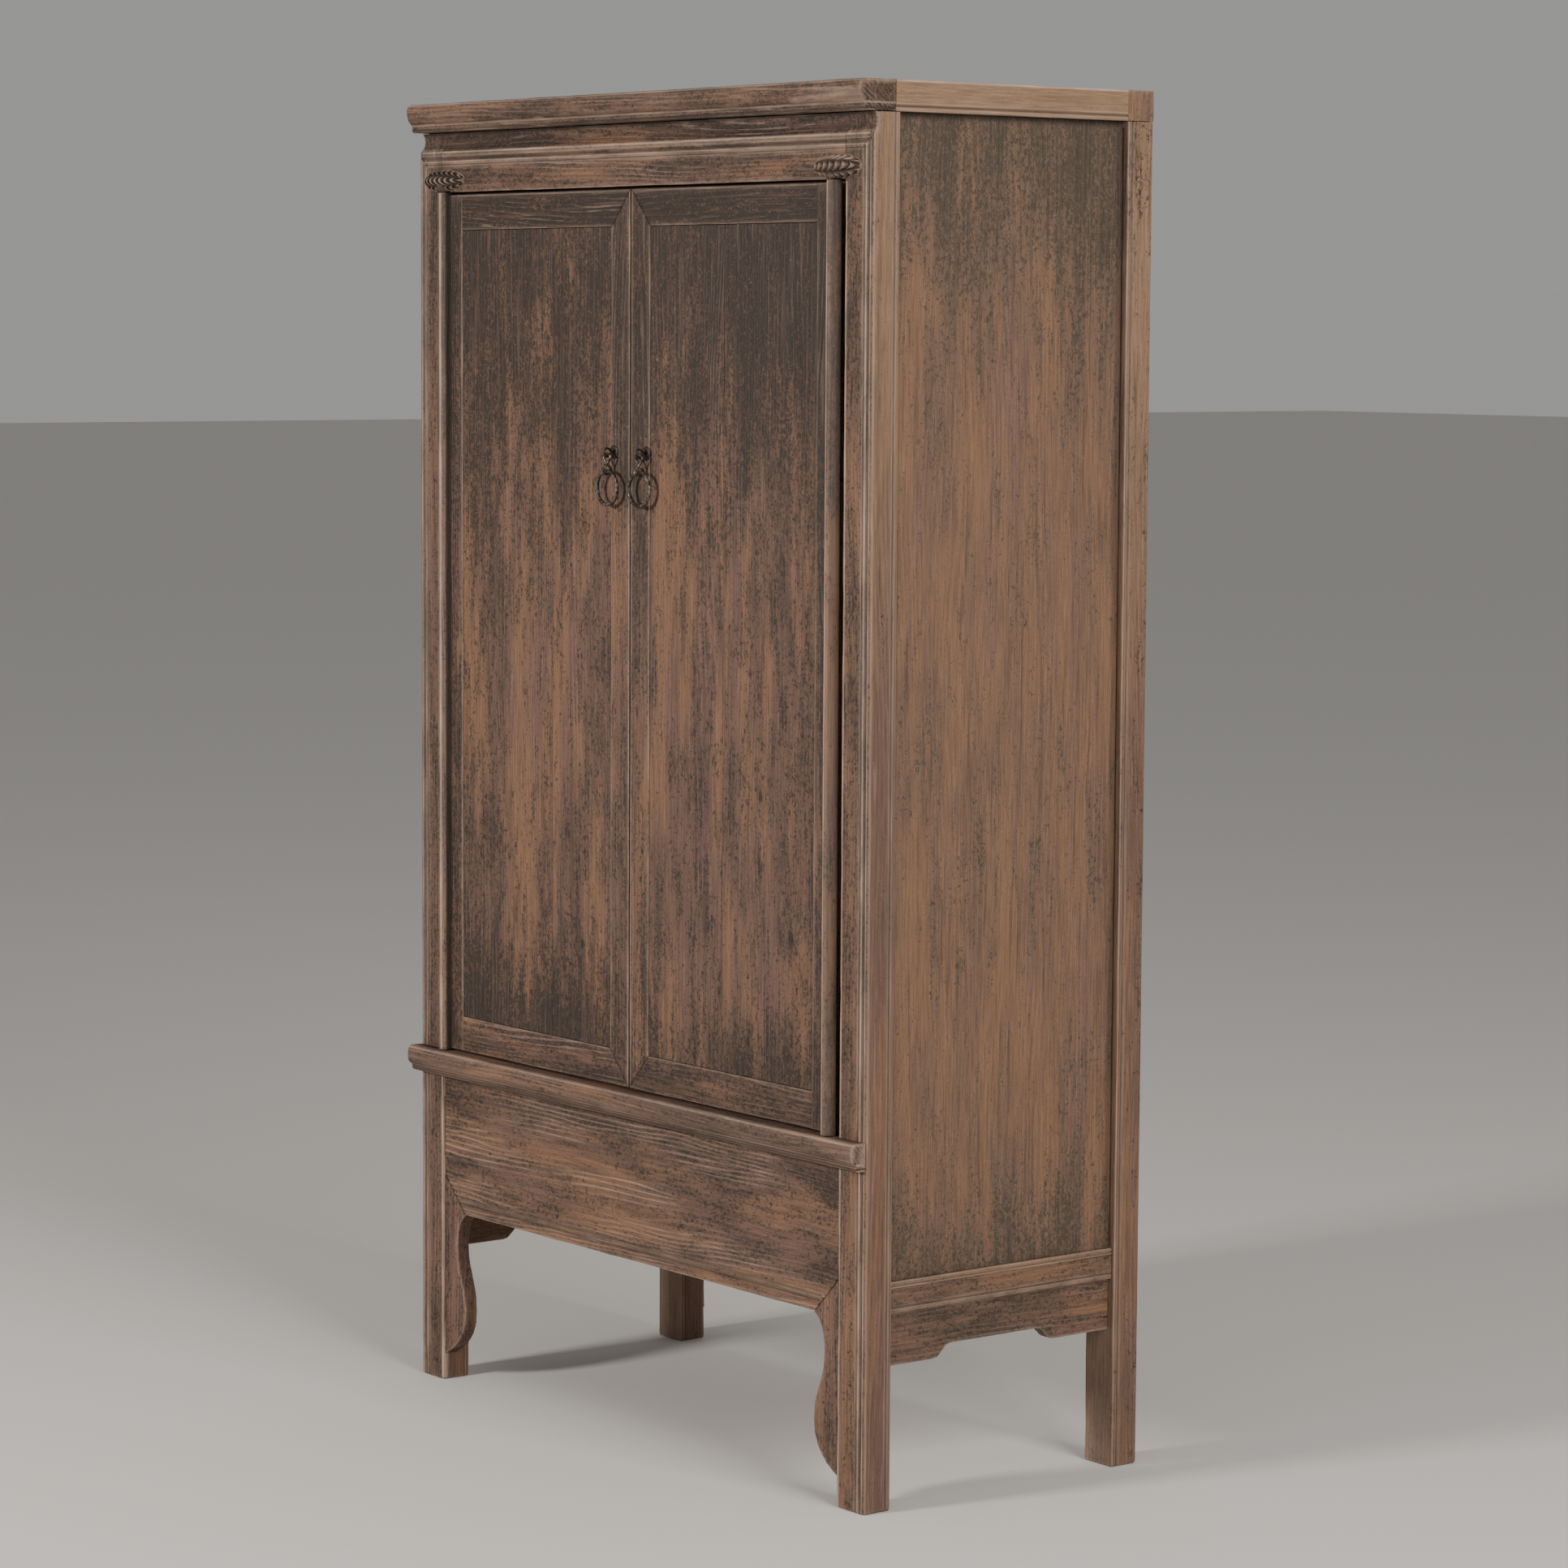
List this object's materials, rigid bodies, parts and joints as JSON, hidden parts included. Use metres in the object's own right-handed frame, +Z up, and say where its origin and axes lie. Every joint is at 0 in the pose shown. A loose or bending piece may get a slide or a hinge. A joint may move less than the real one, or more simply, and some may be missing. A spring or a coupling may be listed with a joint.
{
  "type": "armoire",
  "caption": "Tall framed wooden armoire: panelled doors on wooden pivots with iron ring pulls, moulded crown, door sill over a deep apron, shelves and a lidded lower compartment on legs.",
  "frame": {"origin": "on the floor, under the middle of the object's bounding box", "axes": "+X to the right seen from the front, +Y to the back (the doors face -Y), +Z up"},
  "size_m": [1.064, 0.516, 1.9],
  "materials": {
    "carcass_wood": "aged bare wood with worn remains of dark lacquer",
    "door_wood": "aged wood with darker worn lacquer",
    "interior_wood": "dry unfinished old wood",
    "iron": "forged, dark and oxidised"
  },
  "bodies": {
    "carcass": {"post_front_right": "carcass_wood", "post_front_left": "carcass_wood", "post_back_right": "carcass_wood", "post_back_left": "carcass_wood", "crown_rail_side_right": "carcass_wood", "crown_rail_side_left": "carcass_wood", "pivot_socket_right": "carcass_wood", "pivot_socket_left": "carcass_wood", "leg_bracket_right": "carcass_wood", "leg_bracket_left": "carcass_wood", "side_panel_right": "carcass_wood", "side_panel_left": "carcass_wood", "side_rail_right": "carcass_wood", "side_rail_left": "carcass_wood", "side_apron_right": "carcass_wood", "side_apron_left": "carcass_wood", "crown_rail_front": "carcass_wood", "crown_rail_back": "carcass_wood", "frieze_rail": "carcass_wood", "sill": "carcass_wood", "front_apron": "carcass_wood", "back_rail": "carcass_wood", "top_board_front": "interior_wood", "top_board_back": "interior_wood", "base_board": "interior_wood", "floor_board": "interior_wood", "floor_bearer_right": "interior_wood", "floor_bearer_left": "interior_wood", "back_board_1": "interior_wood", "back_board_2": "interior_wood", "back_board_3": "interior_wood", "shelf_1": "interior_wood", "shelf_2": "interior_wood", "shelf_bearer_1_right": "interior_wood", "shelf_bearer_1_left": "interior_wood", "shelf_bearer_2_right": "interior_wood", "shelf_bearer_2_left": "interior_wood"},
    "compartment_lid": {"compartment_lid": "interior_wood"},
    "door_right": {"door_pivot_stile_right": "door_wood", "door_meeting_stile_right": "door_wood", "door_top_rail_right": "door_wood", "door_bottom_rail_right": "door_wood", "door_inner_board_right": "door_wood", "door_outer_board_right": "door_wood", "door_batten_right": "door_wood", "pull_rosette_right": "iron", "pull_cotter_right": "iron"},
    "pull_link_right": {"pull_link_right": "iron"},
    "pull_ring_right": {"pull_ring_right": "iron"},
    "door_left": {"door_pivot_stile_left": "door_wood", "door_meeting_stile_left": "door_wood", "door_top_rail_left": "door_wood", "door_bottom_rail_left": "door_wood", "door_inner_board_left": "door_wood", "door_outer_board_left": "door_wood", "door_batten_left": "door_wood", "pull_rosette_left": "iron", "pull_cotter_left": "iron"},
    "pull_link_left": {"pull_link_left": "iron"},
    "pull_ring_left": {"pull_ring_left": "iron"}
  },
  "joints": [
    {"name": "right_door_hinge", "type": "hinge", "parent": "carcass", "child": "door_right", "pos_m": [0.4585, -0.238, 1.137], "axis": [0, 0, 1], "range_deg": [0, 170]},
    {"name": "right_link_swing", "type": "hinge", "parent": "door_right", "child": "pull_link_right", "pos_m": [0.038, -0.246, 1.4], "axis": [-1, 0, 0], "range_deg": [0, 60]},
    {"name": "right_ring_swing", "type": "hinge", "parent": "pull_link_right", "child": "pull_ring_right", "pos_m": [0.038, -0.246, 1.3763], "axis": [-1, 0, 0], "range_deg": [0, 90]},
    {"name": "left_door_hinge", "type": "hinge", "parent": "carcass", "child": "door_left", "pos_m": [-0.4585, -0.238, 1.137], "axis": [0, 0, -1], "range_deg": [0, 170]},
    {"name": "left_link_swing", "type": "hinge", "parent": "door_left", "child": "pull_link_left", "pos_m": [-0.038, -0.246, 1.4], "axis": [-1, 0, 0], "range_deg": [0, 60]},
    {"name": "left_ring_swing", "type": "hinge", "parent": "pull_link_left", "child": "pull_ring_left", "pos_m": [-0.038, -0.246, 1.3763], "axis": [-1, 0, 0], "range_deg": [0, 90]},
    {"name": "lid_lift", "type": "slide", "parent": "carcass", "child": "compartment_lid", "axis": [0, 0, 1], "range_m": [0, 0.15]}
  ]
}
